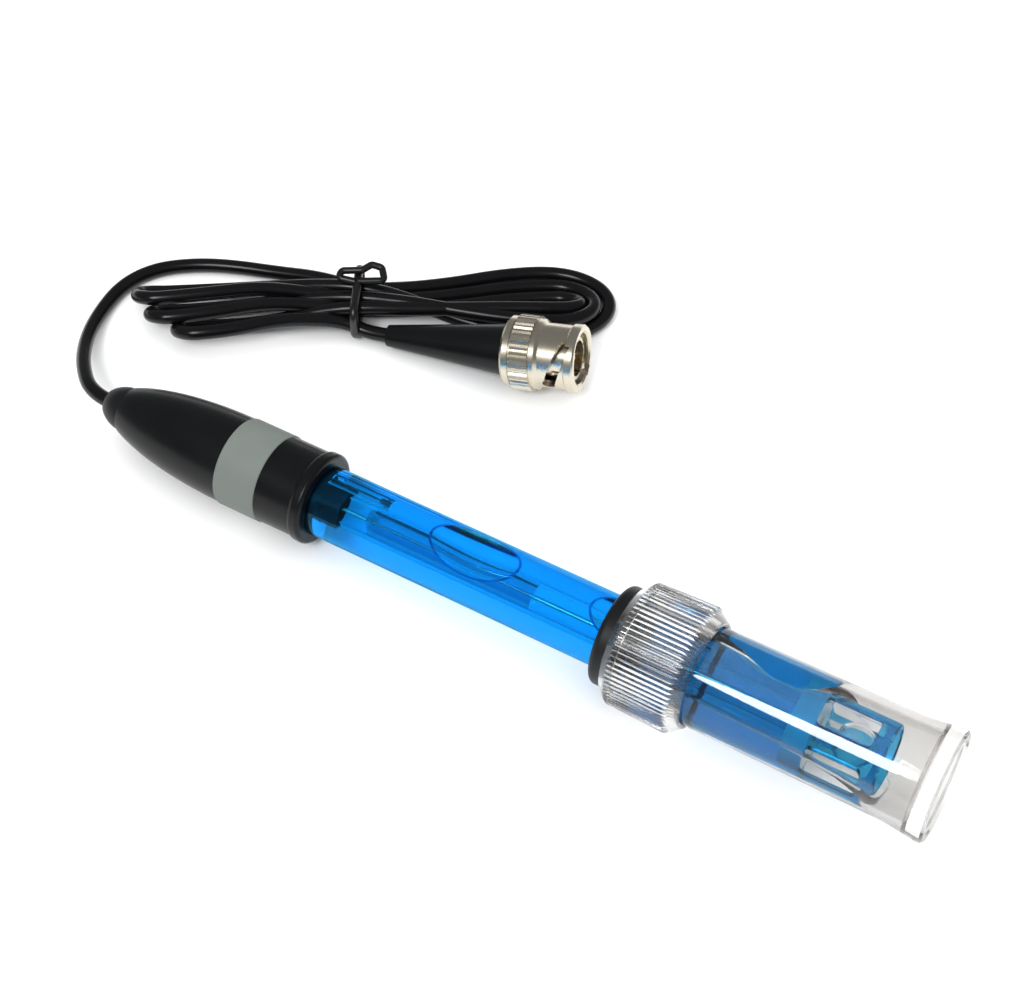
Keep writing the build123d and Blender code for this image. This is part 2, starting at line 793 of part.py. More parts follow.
# Cable core in the plug, from the boot's tail to the pin
with BuildPart() as plug_cable:
    with BuildSketch(across_plug(0)):
        Circle(cable_radius)
    extrude(amount=ferrule_at)
    with BuildSketch(across_plug(ferrule_at)):
        Circle(core_radius)
    extrude(amount=insulator_at - ferrule_at)
plug_cable.part.label = "plug_cable"

# Spring washer and gasket, either side of the body's flange
with BuildPart() as plug_washer:
    with BuildSketch(across_plug(washer_at)):
        Circle(body_flange_radius)
        Circle(washer_bore, mode=Mode.SUBTRACT)
    extrude(amount=washer_thickness)
plug_washer.part.label = "plug_washer"

with BuildPart() as plug_gasket:
    with BuildSketch(across_plug(gasket_at)):
        Circle(gasket_radius)
        Circle(contact_foot_radius + snug_gap, mode=Mode.SUBTRACT)
    extrude(amount=gasket_length)
plug_gasket.part.label = "plug_gasket"

# Coupling nut: turned rings, knurled band, and a shell with two spiral bayonet slots
nut_knurl_end_at = nut_knurl_at + nut_knurl_length
nut_shell_at = nut_knurl_end_at + nut_front_ring_length
nut_rim_at = nut_end_at - nut_rim_length
nut_cavity_at = nut_at + nut_back_wall
slot_start_at = nut_end_at - bayonet_start_setback
slot_middle_radius = (nut_bore + nut_shell_radius) / 2
nut_knurl_pitch = 2 * math.pi * nut_radius / nut_knurl_count
with BuildPart() as plug_nut:
    with BuildSketch(plug_plane):
        with BuildLine():
            Polyline(
                (nut_at, body_shaft_radius + running_gap),
                (nut_at, nut_rear_ring_radius - 0.5),
                (nut_at + 0.5, nut_rear_ring_radius),
                (nut_knurl_at - 0.4, nut_rear_ring_radius),
                (nut_knurl_at - 0.4, nut_rear_ring_radius - 0.35),
                (nut_knurl_at, nut_rear_ring_radius - 0.35),
                (nut_knurl_at, nut_radius),
                (nut_knurl_end_at, nut_radius),
                (nut_knurl_end_at, nut_front_ring_radius),
                (nut_shell_at - 0.3, nut_front_ring_radius),
                (nut_shell_at + 0.3, nut_shell_radius),
                (nut_rim_at - 0.35, nut_shell_radius),
                (nut_rim_at, nut_rim_radius),
                (nut_end_at - 0.3, nut_rim_radius),
                (nut_end_at, nut_rim_radius - 0.3),
                (nut_end_at, nut_bore + 0.35),
                (nut_end_at - 0.35, nut_bore),
                (nut_cavity_at + nut_cavity_length, nut_bore),
                (nut_cavity_at + nut_cavity_length, nut_cavity_radius),
                (nut_cavity_at, nut_cavity_radius),
                (nut_cavity_at, body_shaft_radius + running_gap),
                close=True,
            )
        make_face()
    revolve(axis=plug_axis)
    with BuildSketch(across_plug(nut_knurl_at, 180 + 180 / nut_knurl_count)):
        with PolarLocations(nut_radius - nut_knurl_depth, nut_knurl_count):
            Polygon(
                (0, 0),
                (nut_knurl_depth * 2, -nut_knurl_pitch * nut_knurl_share),
                (nut_knurl_depth * 2, nut_knurl_pitch * nut_knurl_share),
                align=None,
            )
    extrude(amount=nut_knurl_length, mode=Mode.SUBTRACT)
    for side in (0, 180):
        angle = bayonet_angle + side
        with BuildLine() as ramp:
            Spline(
                *[
                    on_plug(
                        slot_start_at - bayonet_travel * step / 6,
                        slot_middle_radius,
                        angle + bayonet_turn * step / 6,
                    )
                    for step in range(7)
                ]
            )
        ramp_start = ramp.line @ 0
        ramp_plane = Plane(
            origin=ramp_start, x_dir=across_plug(slot_start_at, angle).x_dir, z_dir=ramp.line % 0
        )
        with BuildSketch(ramp_plane):
            Rectangle(2 * (nut_rim_radius - nut_bore), bayonet_width)
        sweep(path=ramp.line, is_frenet=True, mode=Mode.SUBTRACT)
        end_plane = Plane(
            origin=on_plug(slot_start_at - bayonet_travel, 0, 0),
            z_dir=across_plug(slot_start_at, angle + bayonet_turn).x_dir,
        )
        with BuildSketch(end_plane):
            Circle(bayonet_width * 0.56)
        extrude(amount=nut_radius + 1, mode=Mode.SUBTRACT)
        with BuildSketch(across_plug(slot_start_at, angle)):
            with Locations((nut_bore, 0)):
                Rectangle(2 * bayonet_entry_depth, bayonet_width)
        extrude(amount=bayonet_start_setback + 1, mode=Mode.SUBTRACT)
plug_nut.part.label = "plug_nut"

# Cable lead: from the grommet down onto the bench and round to the hank, straight runs joined by tangent arcs
lead_points = [
    probe_origin,
    probe_origin - probe_direction * lead_exit,
    Vector(-94.3, 5.4, 5.4),
    Vector(-100.2, 12.6, 2.9),
    Vector(-103.6, 20.4, cable_radius),
    Vector(-104.3, 28.6, cable_radius),
    Vector(-100.9, 35.7, cable_radius),
    lead_end,
]


def bend_radii(points):
    """Radius of each bend: 0.45 of the shorter run beside it, over the tangent of half the turn."""
    radii = []
    for before, corner, after in zip(points, points[1:], points[2:]):
        run_in = corner - before
        run_out = after - corner
        half_turn = math.radians(run_in.get_angle(run_out)) / 2
        radii.append(0.45 * min(run_in.length, run_out.length) / math.tan(half_turn))
    return radii


lead_radii = bend_radii(lead_points)
with BuildPart() as cable_lead:
    with BuildLine() as lead_path:
        FilletPolyline(*lead_points, radius=lead_radii)
    with BuildSketch(Plane(origin=lead_path.line @ 0, z_dir=lead_path.line % 0)):
        Circle(cable_radius)
    sweep(path=lead_path.line)
cable_lead.part.label = "cable_lead"
lead_length = sum(edge.length for edge in lead_path.edges())
print("lead bend radii", [round(radius, 1) for radius in lead_radii])
print("lead length", round(lead_length, 1))
print("lead volume share", round(cable_lead.part.volume / (math.pi * cable_radius**2 * lead_length), 4))

# Cable tail: short run from the hank's waist into the plug's boot
tail_plane = across_plug(-tail_run)
with BuildPart() as cable_tail:
    with BuildSketch(tail_plane):
        Circle(cable_radius)
    extrude(amount=tail_run)
cable_tail.part.label = "cable_tail"

# Cable hank: outer shape of the folded turns, two lobes either side of the tied waist
hank_direction = Vector(math.cos(math.radians(hank_heading)), math.sin(math.radians(hank_heading)), 0)
hank_plane = Plane(origin=hank_centre, x_dir=hank_direction, z_dir=(0, 0, 1))
waist_plane = Plane(origin=hank_centre, x_dir=hank_plane.y_dir, z_dir=hank_direction)
waist_middle = waist_lift + waist_height / 2
hank_outline = [
    (0, 5.8),
    (-10, 8.8),
    (-22, 12.0),
    (-34, 12.4),
    (-43, 8.6),
    (-46.8, 4.0),
    (-44.0, -1.6),
    (-37, -7.8),
    (-27, -10.7),
    (-14, -8.9),
    (0, -5.8),
    (12, -4.4),
    (30, -5.2),
    (43, -6.0),
    (49.8, -2.0),
    (50.4, 4.2),
    (44.5, 10.6),
    (34, 14.0),
    (23, 12.6),
    (11, 8.4),
]
lead_end_plane = Plane(origin=lead_end, x_dir=(0, 0, 1), z_dir=lead_points[-1] - lead_points[-2])
with BuildPart() as cable_hank:
    with BuildSketch(hank_plane):
        with BuildLine():
            Spline(*hank_outline, periodic=True)
        make_face()
    extrude(amount=hank_height)
    fillet(cable_hank.edges().group_by(Axis.Z)[-1], hank_top_round)
    with BuildSketch(waist_plane):
        Rectangle(6 * waist_width, 6 * waist_height)
    extrude(amount=tie_radius + 2 * tie_gap, both=True, mode=Mode.SUBTRACT)
    with BuildSketch(waist_plane):
        with Locations((0, waist_middle)):
            RectangleRounded(waist_width, waist_height, waist_round)
    extrude(amount=waist_length / 2, both=True)
    with BuildSketch(lead_end_plane):
        Rectangle(lead_pocket, lead_pocket)
    extrude(amount=-lead_pocket, mode=Mode.SUBTRACT)
    with BuildSketch(tail_plane):
        with Locations((0, tail_pocket / 4)):
            Rectangle(2 * tail_pocket, tail_pocket)
    extrude(amount=plug_boot_length + tail_run, mode=Mode.SUBTRACT)
cable_hank.part.label = "cable_hank"

# Twist tie: coated wire round the waist, its ends bent over on top
tie_half_width = waist_width / 2 + tie_gap + tie_radius
tie_low = waist_lift - tie_gap - tie_radius
tie_high = waist_lift + waist_height + tie_gap + tie_radius
knot_points = [
    (0.2, 1.7, tie_high + 0.4),
    (5.3, 2.0, tie_high + 0.5),
    (4.6, 4.6, tie_high + 1.4),
    (2.6, 4.9, tie_high + 1.8),
    (0.8, 3.7, tie_high + 1.4),
    (-3.0, 3.6, tie_high + 1.2),
    (-4.0, 2.2, tie_high + 0.7),
    (-0.4, 1.6, tie_high + 0.4),
]
with BuildPart() as twist_tie:
    with BuildLine(waist_plane) as tie_path:
        FilletPolyline(
            (tie_half_width, tie_low),
            (tie_half_width, tie_high),
            (-tie_half_width, tie_high),
            (-tie_half_width, tie_low),
            radius=waist_round + tie_gap + tie_radius,
            close=True,
        )
    with BuildSketch(Plane(origin=tie_path.line @ 0, z_dir=tie_path.line % 0)):
        Circle(tie_radius)
    sweep(path=tie_path.line)
    with BuildLine() as knot_path:
        FilletPolyline(*[hank_plane.from_local_coords(point) for point in knot_points], radius=knot_radius)
    with BuildSketch(Plane(origin=knot_path.line @ 0, z_dir=knot_path.line % 0)):
        Circle(knot_wire_radius)
    sweep(path=knot_path.line)
twist_tie.part.label = "twist_tie"

pieces = (
    cable_grommet,
    rear_boot,
    grey_band,
    front_sleeve,
    body_tube,
    top_plug,
    glass_stem,
    stem_stopper,
    stem_sleeve,
    stem_buffer,
    measuring_wire,
    reference_sheath,
    reference_wire,
    reference_gel,
    tip_seal,
    ceramic_junction,
    cable_end,
    potting,
    seal_ring,
    storage_collar,
    storage_bottle,
    plug_boot,
    plug_ferrule,
    plug_body,
    plug_insulator,
    plug_pin,
    plug_cable,
    plug_washer,
    plug_gasket,
    plug_nut,
    cable_lead,
    cable_tail,
    cable_hank,
    twist_tie,
)
os.makedirs("parts", exist_ok=True)
for piece in pieces:
    export_step(piece.part, f"parts/{piece.part.label}.step")

print("tilt in degrees", round(math.degrees(tilt), 3))
print("probe origin", probe_origin, "direction", probe_direction)
print("shaft face", probe_origin + probe_direction * shaft_at, "window", probe_origin + probe_direction * window_at)
print("tip", probe_origin + probe_direction * tip_at, "bottle floor", probe_origin + probe_direction * bottle_floor_at)
print("seal", probe_origin + probe_direction * seal_at)
print("plug pitch", round(math.degrees(plug_pitch), 3), "direction", plug_direction)
print("gasket", on_plug(gasket_at + gasket_length, 0, 0), "contact end", on_plug(contact_end_at, 0, 0))
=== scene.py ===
# %% [markdown]
# A combination pH electrode lies on a white bench, with its tip in a clear storage bottle and its thin black
# lead tied in a hank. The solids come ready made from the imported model, and this lesson gives them their
# finishes, lays the lead as one long curve, adds the storage solution, and lights the set.

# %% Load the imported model
import json
import math

import bpy
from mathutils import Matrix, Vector


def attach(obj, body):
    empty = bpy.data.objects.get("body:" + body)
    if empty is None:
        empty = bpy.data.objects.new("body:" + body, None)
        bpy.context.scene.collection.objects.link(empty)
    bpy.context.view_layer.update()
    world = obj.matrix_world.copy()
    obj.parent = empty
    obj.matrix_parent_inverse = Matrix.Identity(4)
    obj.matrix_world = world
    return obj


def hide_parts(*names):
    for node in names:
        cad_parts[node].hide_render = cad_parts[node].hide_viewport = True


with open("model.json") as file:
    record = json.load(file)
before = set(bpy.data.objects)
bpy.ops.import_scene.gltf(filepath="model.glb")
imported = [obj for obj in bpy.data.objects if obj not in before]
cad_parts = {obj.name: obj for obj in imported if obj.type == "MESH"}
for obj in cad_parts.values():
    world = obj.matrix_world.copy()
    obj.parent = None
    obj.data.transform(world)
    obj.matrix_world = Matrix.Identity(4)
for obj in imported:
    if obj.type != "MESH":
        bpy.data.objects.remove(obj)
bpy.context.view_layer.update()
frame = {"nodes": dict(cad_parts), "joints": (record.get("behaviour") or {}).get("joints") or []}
nodes = frame["nodes"]
joints = {joint["name"]: joint for joint in frame["joints"]}
MM = 0.001

# %% [markdown]
# The probe is a turned shape, so nearly every finish on it depends on two things only: how far along the probe a
# point lies, and how far from its axis. The axis is read from the slide joint of the cap, and stations along it
# are counted in millimetres from the rear face of the cable grommet, where the lead leaves.

# %% The probe's axis and the stations along it
COLLAR_STATION = 108.15
MOUTH_STATION = 111.9
WINDOW_STATION = 143.9
TUBE_IN_CAP = 6.33
BORE_RADIUS = 5.6
probe_axis = Vector(joints["cap_slide"]["axis"]).normalized()
side_axis = Vector((0, -1, 0))
up_axis = side_axis.cross(probe_axis).normalized()
probe_start = Vector(joints["collar_turn"]["pos_m"]) - probe_axis * COLLAR_STATION * MM
plug_axis = Vector(joints["nut_turn"]["axis"]).normalized()


def on_probe(station, radius=0.0, turn=0.0):
    """Point at a station and radius in millimetres, turned in degrees from the top towards the camera's side."""
    angle = math.radians(turn)
    out = up_axis * math.cos(angle) + side_axis * math.sin(angle)
    return probe_start + (probe_axis * station + out * radius) * MM


print("probe starts at", [round(v, 4) for v in probe_start])


# %% [markdown]
# Colours are written as the sRGB values that a colour picker shows, and one function turns them into the linear
# values that shaders use. A second function adds a shader node with its settings and its links.

# %% Two helpers for materials
def srgb(code):
    """Linear colour of a hex code such as "2f6fd0"."""
    channels = [int(code[i : i + 2], 16) / 255 for i in (0, 2, 4)]
    linear = [c / 12.92 if c <= 0.04045 else ((c + 0.055) / 1.055) ** 2.4 for c in channels]
    return (*linear, 1.0)


def add(tree, kind, settings=None, links=None):
    """Add a node. Settings are its own properties or its inputs' values, and links feed its inputs from other
    nodes: a node there stands for its first output."""
    node = tree.nodes.new("ShaderNode" + kind)
    for name, value in (settings or {}).items():
        if isinstance(name, str) and hasattr(node, name):
            setattr(node, name, value)
        else:
            node.inputs[name].default_value = value
    for name, source in (links or {}).items():
        socket = source if isinstance(source, bpy.types.NodeSocket) else source.outputs[0]
        tree.links.new(socket, node.inputs[name])
    return node


def new_material(name):
    """An empty material and its node tree."""
    material = bpy.data.materials.new(name)
    material.use_nodes = True
    material.node_tree.nodes.clear()
    return material, material.node_tree


def dress(material, *names):
    """Give one material to all the slots of some CAD nodes."""
    for name in names:
        slots = nodes[name].data.materials
        slots.clear()
        slots.append(material)


# %% [markdown]
# The camera looks down at about 53 degrees, from beyond the bottle's side, as in the photograph. Its place comes
# from a fit of the probe's known sizes to the picture.

# %% The camera
CAMERA_PLACE = Vector((103.70, -170.27, 298.26)) * MM
CAMERA_HEADING = math.radians(30.391)
CAMERA_DROP = math.radians(53.074)
camera_data = bpy.data.cameras.new("photo_camera")
camera_data.sensor_width = 36.0
camera_data.lens = 71.15
camera_data.clip_start = 0.01
camera = bpy.data.objects.new("photo_camera", camera_data)
camera.location = CAMERA_PLACE
camera.rotation_euler = (math.pi / 2 - CAMERA_DROP, 0, CAMERA_HEADING)
bpy.context.scene.collection.objects.link(camera)
bpy.context.scene.camera = camera
print("camera at", [round(v, 4) for v in camera.location])

# %% [markdown]
# The lead is a thin coaxial cable, 2.8 mm across. It leaves the grommet, drops onto the bench, swings back to
# the hank and then goes to and fro through the tie seven times before it ends in the plug's boot. It is one
# smooth curve, drawn from control points: a short list for the stretch that lies loose, and a loop that works
# out the lobes of the hank, one after the other.

# %% The route of the lead
CABLE_RADIUS = 1.4
LEAD_EXIT = 4.6
route = [
    probe_start / MM,
    (probe_start - probe_axis * LEAD_EXIT * MM) / MM,
    Vector((-94.3, 5.4, 5.4)),
    Vector((-99.6, 12.6, 2.9)),
    Vector((-102.6, 20.4, CABLE_RADIUS)),
    Vector((-103.2, 28.6, CABLE_RADIUS)),
    Vector((-100.3, 35.3, CABLE_RADIUS)),
    Vector((-94.2, 40.4, CABLE_RADIUS)),
    Vector((-87.3, 43.9, CABLE_RADIUS)),
    Vector((-78.5, 46.8, 1.6)),
    Vector((-70.0, 49.2, 2.6)),
]
HANK_MIDDLE = Vector((-59.0, 46.3, 0.0))
HANK_HEADING = math.radians(27.5)
LOW_LAYER = 3.3
HIGH_LAYER = 5.7


def in_hank(along, across, height):
    """Point of the hank from its own directions, in millimetres in the row frame."""
    c, s = math.cos(HANK_HEADING), math.sin(HANK_HEADING)
    return HANK_MIDDLE + Vector((along * c - across * s, along * s + across * c, height))


def ease(share):
    """Smooth step from 0 to 1."""
    return share * share * (3 - 2 * share)


def lobe(middle, half, entry, leave, rest_out, rest_back, bow):
    """Control points of one lobe: out from the tie, round the end and back. Entry and leave are (across, height)
    at the tie. Middle and half are the centre and the half axes of its round end, the rests are the heights
    before and after it, and bow is how far both strands swing out on the way. A fold that looks tight from above
    stands aslant, so its bend stays wide."""
    points = []
    for share in (0.0, 0.25, 0.5, 0.75):
        across = entry[0] + (middle[1] + half[1] - entry[0]) * ease(share)
        across += bow * 16 * (share * (1 - share)) ** 2
        height = entry[1] + (rest_out - entry[1]) * ease(min(1, share * 1.6))
        points.append(in_hank(middle[0] * share, across, height))
    for step in range(7):
        angle = math.pi / 2 - math.pi * step / 6
        swing = math.copysign(half[0], middle[0]) * math.cos(angle)
        height = rest_out + (rest_back - rest_out) * ease(step / 6)
        points.append(in_hank(middle[0] + swing, middle[1] + half[1] * math.sin(angle), height))
    for share in (0.75, 0.5, 0.25):
        across = leave[0] + (middle[1] - half[1] - leave[0]) * ease(share)
        across += bow * 16 * (share * (1 - share)) ** 2
        height = leave[1] + (rest_back - leave[1]) * ease(min(1, share * 1.6))
        points.append(in_hank(middle[0] * share, across, height))
    return points


lobes = [
    ((36.5, 3.9), (12.8, 8.5), (4.2, LOW_LAYER), (2.8, HIGH_LAYER), 1.4, 1.4, 0.0),
    ((-38.6, 0.2), (4.6, 3.0), (2.8, HIGH_LAYER), (1.4, LOW_LAYER), 1.4, 6.2, 2.0),
    ((37.5, 2.4), (8.8, 6.5), (1.4, LOW_LAYER), (0.0, HIGH_LAYER), 1.4, 5.2, 0.0),
    ((-35.4, -4.6), (4.6, 3.0), (0.0, HIGH_LAYER), (-1.4, LOW_LAYER), 1.4, 6.2, 1.8),
    ((38.0, 2.5), (5.4, 3.2), (-1.4, LOW_LAYER), (-2.8, HIGH_LAYER), 1.4, 5.2, 0.0),
    ((-29.6, -8.4), (4.6, 3.0), (-2.8, HIGH_LAYER), (-4.2, LOW_LAYER), 1.4, 6.2, 0.8),
]
for shape in lobes:
    route += lobe(*shape)
PLUG_TAIL = Vector((-49.8, 43.0, 2.9))
route.append(in_hank(-1.5, -4.5, LOW_LAYER))
route.append(PLUG_TAIL - plug_axis * 4.2)
route.append(PLUG_TAIL + plug_axis * 0.6)
print("control points", len(route))

# %% Draw the lead
cable_curve = bpy.data.curves.new("lead_cable", "CURVE")
cable_curve.dimensions = "3D"
cable_curve.bevel_depth = 1.0
cable_curve.bevel_resolution = 6
cable_curve.resolution_u = 10
spline = cable_curve.splines.new("NURBS")
spline.points.add(len(route) - 1)
for control, point in zip(spline.points, route):
    control.co = (*(point * MM), 1.0)
    control.radius = CABLE_RADIUS * MM
spline.order_u = 3
spline.use_endpoint_u = True
cable = bpy.data.objects.new("lead_cable", cable_curve)
bpy.context.scene.collection.objects.link(cable)
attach(cable, "probe")
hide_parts("cable_lead", "cable_tail", "cable_hank")


# %% [markdown]
# Black polypropylene and PVC differ in their sheen. The handle is moulded with a satin surface, the cable's
# jacket is extruded and smoother, and the seal is soft rubber. One function makes them all: a dark base that
# varies a little, a roughness that drifts over a few millimetres, and a fine bump.

# %% Black plastics, the grey band and the small insulators
def moulded(name, colour, other, roughness, grain=0.4, bump=0.05, specular=0.5):
    """Opaque plastic between two near colours. Grain is the size in millimetres of its fine texture."""
    material, tree = new_material(name)
    place = add(tree, "TexCoord").outputs["Object"]
    cloud = add(tree, "TexNoise", {"Scale": 1 / (5 * MM), "Detail": 3.0}, {"Vector": place})
    tint = add(tree, "MixRGB", {"Color1": srgb(colour), "Color2": srgb(other)}, {"Fac": cloud})
    dull = {"To Min": roughness - 0.05, "To Max": roughness + 0.05}
    varied = add(tree, "MapRange", dull, {"Value": cloud})
    fine = add(tree, "TexNoise", {"Scale": 1 / (grain * MM), "Detail": 2.0}, {"Vector": place})
    lift = add(tree, "Bump", {"Strength": bump, "Distance": 0.1 * MM}, {"Height": fine})
    surface = {"IOR": 1.5, "Specular IOR Level": specular}
    links = {"Base Color": tint, "Roughness": varied, "Normal": lift}
    shader = add(tree, "BsdfPrincipled", surface, links)
    add(tree, "OutputMaterial", links={"Surface": shader})
    return material


handle_black = moulded("moulded_black_polypropylene", "08090a", "0d0e0f", 0.3, specular=0.2)
jacket_black = moulded("extruded_black_pvc", "08080a", "0d0d0e", 0.24, bump=0.02, specular=0.25)
rubber_black = moulded("black_nitrile_rubber", "0c0d0e", "121314", 0.42, bump=0.08, specular=0.25)
resin_black = moulded("cast_black_epoxy", "0b0c10", "11131a", 0.25, bump=0.02, specular=0.3)
resin_pale = moulded("cast_pale_epoxy", "a4bac4", "b0c4cc", 0.3, bump=0.02)
band_grey = moulded("matte_grey_abs", "626964", "6b726d", 0.6, bump=0.12)
tie_black = moulded("plastic_coated_wire", "0a0a0b", "0e0e0f", 0.32)
insulator_white = moulded("white_ptfe", "d4d2ca", "e0ded8", 0.45)
gasket_grey = moulded("silicone_gasket", "5c5650", "66605a", 0.5)
ceramic_white = moulded("porous_ceramic", "c8c5ba", "d8d5cc", 0.8, grain=0.1, bump=0.3)
chloride_grey = moulded("silver_chloride_coat", "241c22", "3a3038", 0.5, grain=0.15, bump=0.2)
dress(handle_black, "rear_boot", "front_sleeve", "plug_boot")
dress(rubber_black, "cable_grommet", "seal_ring")
dress(resin_black, "top_plug", "stem_stopper", "potting", "stem_sleeve")
dress(resin_pale, "tip_seal")
dress(jacket_black, "cable_end", "plug_cable")
dress(band_grey, "grey_band")
dress(tie_black, "twist_tie")
dress(insulator_white, "plug_insulator")
dress(gasket_grey, "plug_gasket")
dress(ceramic_white, "ceramic_junction")
dress(chloride_grey, "reference_wire")
cable.data.materials.append(jacket_black)


# %% [markdown]
# The plug is turned brass with nickel plate, which looks warm beside chrome. Fine turning marks run round its
# axis, drawn as bands of noise along the axis, 0.12 mm apart so that they just show. The wire in the stem is
# drawn silver, and the pin is gilt.

# %% Metals
def turned_metal(name, colour, other, roughness, bump):
    """Plated or drawn metal between two near colours, with turning marks across the plug's axis."""
    material, tree = new_material(name)
    place = add(tree, "TexCoord").outputs["Object"]
    along = add(tree, "VectorMath", {"operation": "DOT_PRODUCT", 1: tuple(plug_axis)}, {0: place})
    lines = {"noise_dimensions": "1D", "Scale": 1 / (0.12 * MM), "Detail": 1.0}
    marks = add(tree, "TexNoise", lines, {"W": along.outputs["Value"]})
    cloud = add(tree, "TexNoise", {"Scale": 1 / (2.5 * MM), "Detail": 3.0}, {"Vector": place})
    tint = add(tree, "MixRGB", {"Color1": srgb(colour), "Color2": srgb(other)}, {"Fac": cloud})
    dull = {"To Min": roughness * 0.75, "To Max": roughness * 1.3}
    varied = add(tree, "MapRange", dull, {"Value": cloud})
    lift = add(tree, "Bump", {"Strength": bump, "Distance": 0.02 * MM}, {"Height": marks})
    links = {"Base Color": tint, "Roughness": varied, "Normal": lift}
    shader = add(tree, "BsdfPrincipled", {"Metallic": 1.0}, links)
    add(tree, "OutputMaterial", links={"Surface": shader})
    return material


nickel_plate = turned_metal("turned_nickel_plate", "d8d0be", "cbc2ae", 0.26, 0.25)
silver_wire = turned_metal("drawn_silver", "dcdcd8", "cfcfcc", 0.25, 0.05)
gilt_pin = turned_metal("gilt_brass", "e2b866", "d6a850", 0.22, 0.1)
dress(nickel_plate, "plug_nut", "plug_body", "plug_washer", "plug_ferrule")
dress(silver_wire, "measuring_wire")
dress(gilt_pin, "plug_pin")

# %% [markdown]
# Clear pieces that touch a liquid bend light far less than pieces that stand in air, because what matters is the
# step in refractive index. So each wall gets the index of what is behind it: plastic against air on the outside,
# plastic against gel in the bore, and plastic against air again where a bubble lies. The liquids' own surfaces
# are left invisible where they touch a wall, and bend light only where they meet air. A node group tells every
# such material where on the probe a point lies.

# %% Where a point lies on the probe
place_group = bpy.data.node_groups.new("place_on_probe", "ShaderNodeTree")
for title in ("Station", "Radius", "Turn"):
    place_group.interface.new_socket(title, in_out="OUTPUT", socket_type="NodeSocketFloat")
tree = place_group
spot = add(tree, "TexCoord").outputs["Object"]
offset = add(tree, "VectorMath", {"operation": "SUBTRACT", 1: tuple(probe_start)}, {0: spot})
reaches = []
for direction in (probe_axis, up_axis, side_axis):
    reach = add(tree, "VectorMath", {"operation": "DOT_PRODUCT", 1: tuple(direction / MM)}, {0: offset})
    reaches.append(reach.outputs["Value"])
across_probe = add(tree, "CombineXYZ", {}, {0: reaches[1], 1: reaches[2]})
group_end = tree.nodes.new("NodeGroupOutput")
radius_node = add(tree, "VectorMath", {"operation": "LENGTH"}, {0: across_probe})
turn_node = add(tree, "Math", {"operation": "ARCTAN2"}, {0: reaches[2], 1: reaches[1]})
tree.links.new(reaches[0], group_end.inputs["Station"])
tree.links.new(radius_node.outputs["Value"], group_end.inputs["Radius"])
tree.links.new(turn_node.outputs[0], group_end.inputs["Turn"])

# %% A group that is 1 where a value lies between two limits
zone_group = bpy.data.node_groups.new("zone", "ShaderNodeTree")
for title in ("Value", "Low", "High"):
    zone_group.interface.new_socket(title, in_out="INPUT", socket_type="NodeSocketFloat")
zone_group.interface.new_socket("Inside", in_out="OUTPUT", socket_type="NodeSocketFloat")
tree = zone_group
start = tree.nodes.new("NodeGroupInput")
above = add(tree, "Math", {"operation": "GREATER_THAN"}, {0: start.outputs["Value"], 1: start.outputs["Low"]})
below = add(tree, "Math", {"operation": "LESS_THAN"}, {0: start.outputs["Value"], 1: start.outputs["High"]})
both = add(tree, "Math", {"operation": "MULTIPLY"}, {0: above, 1: below})
group_end = tree.nodes.new("NodeGroupOutput")
tree.links.new(both.outputs[0], group_end.inputs["Inside"])

# %% [markdown]
# The cap holds a few drops of storage solution. They cling to the gap round the tube near the collar, leave a
# long air pocket on top and run out towards the bottle's end. The pocket has a near edge on the camera's side
# and a far edge, each a curve of stations and degrees from the top. The curves shape the solution's mesh, and a
# third group tells the walls where they are wet.

# %% Where the storage solution lies
NEAR_EDGE = [
    (111.9, 60),
    (125.0, 63),
    (138.8, 68),
    (144.4, 71),
    (150.2, 77),
    (154.5, 88),
    (156.5, 125),
    (157.5, 180),
]
FAR_EDGE = [
    (111.9, 40),
    (121.9, 35),
    (128.2, 21),
    (131.4, 10),
    (134.5, 2),
    (139.1, 2),
    (141.7, 11),
    (144.3, 28),
    (146.0, 62),
    (148.5, 105),
    (152.5, 140),
    (157.5, 180),
]
DRY_START = NEAR_EDGE[0][0]
DRY_END = NEAR_EDGE[-1][0]


def edge_angle(edge, station):
    """Angle in degrees from the top to one edge of the air pocket, at a station."""
    for (start, first), (end, last) in zip(edge, edge[1:]):
        if station <= end:
            return first + (last - first) * (station - start) / (end - start)
    return 180.0


wet_group = bpy.data.node_groups.new("wet_by_solution", "ShaderNodeTree")
wet_group.interface.new_socket("Wet", in_out="OUTPUT", socket_type="NodeSocketFloat")
tree = wet_group
place = add(tree, "Group", {"node_tree": place_group})
share = add(tree, "MapRange", {"From Min": DRY_START, "From Max": DRY_END}, {"Value": place.outputs["Station"]})
sides = []
for edge, side in ((NEAR_EDGE, 1), (FAR_EDGE, -1)):
    curve = add(tree, "FloatCurve", {}, {"Value": share})
    line = curve.mapping.curves[0]
    spots = [((station - DRY_START) / (DRY_END - DRY_START), angle / 180) for station, angle in edge]
    line.points[0].location = spots[0]
    line.points[1].location = spots[-1]
    for spot in spots[1:-1]:
        line.points.new(*spot)
    for point in line.points:
        point.handle_type = "VECTOR"
    curve.mapping.update()
    turn = add(tree, "Math", {"operation": "MULTIPLY", 1: side / math.pi}, {0: place.outputs["Turn"]})
    sides.append(add(tree, "Math", {"operation": "GREATER_THAN"}, {0: turn, 1: curve}))
outside = add(tree, "Math", {"operation": "MAXIMUM"}, {0: sides[0], 1: sides[1]})
limits = {"node_tree": zone_group, "Low": MOUTH_STATION, "High": DRY_END}
along = add(tree, "Group", limits, {"Value": place.outputs["Station"]})
wet = add(tree, "Math", {"operation": "MULTIPLY"}, {0: outside, 1: along})
group_end = tree.nodes.new("NodeGroupOutput")
tree.links.new(wet.outputs[0], group_end.inputs["Wet"])

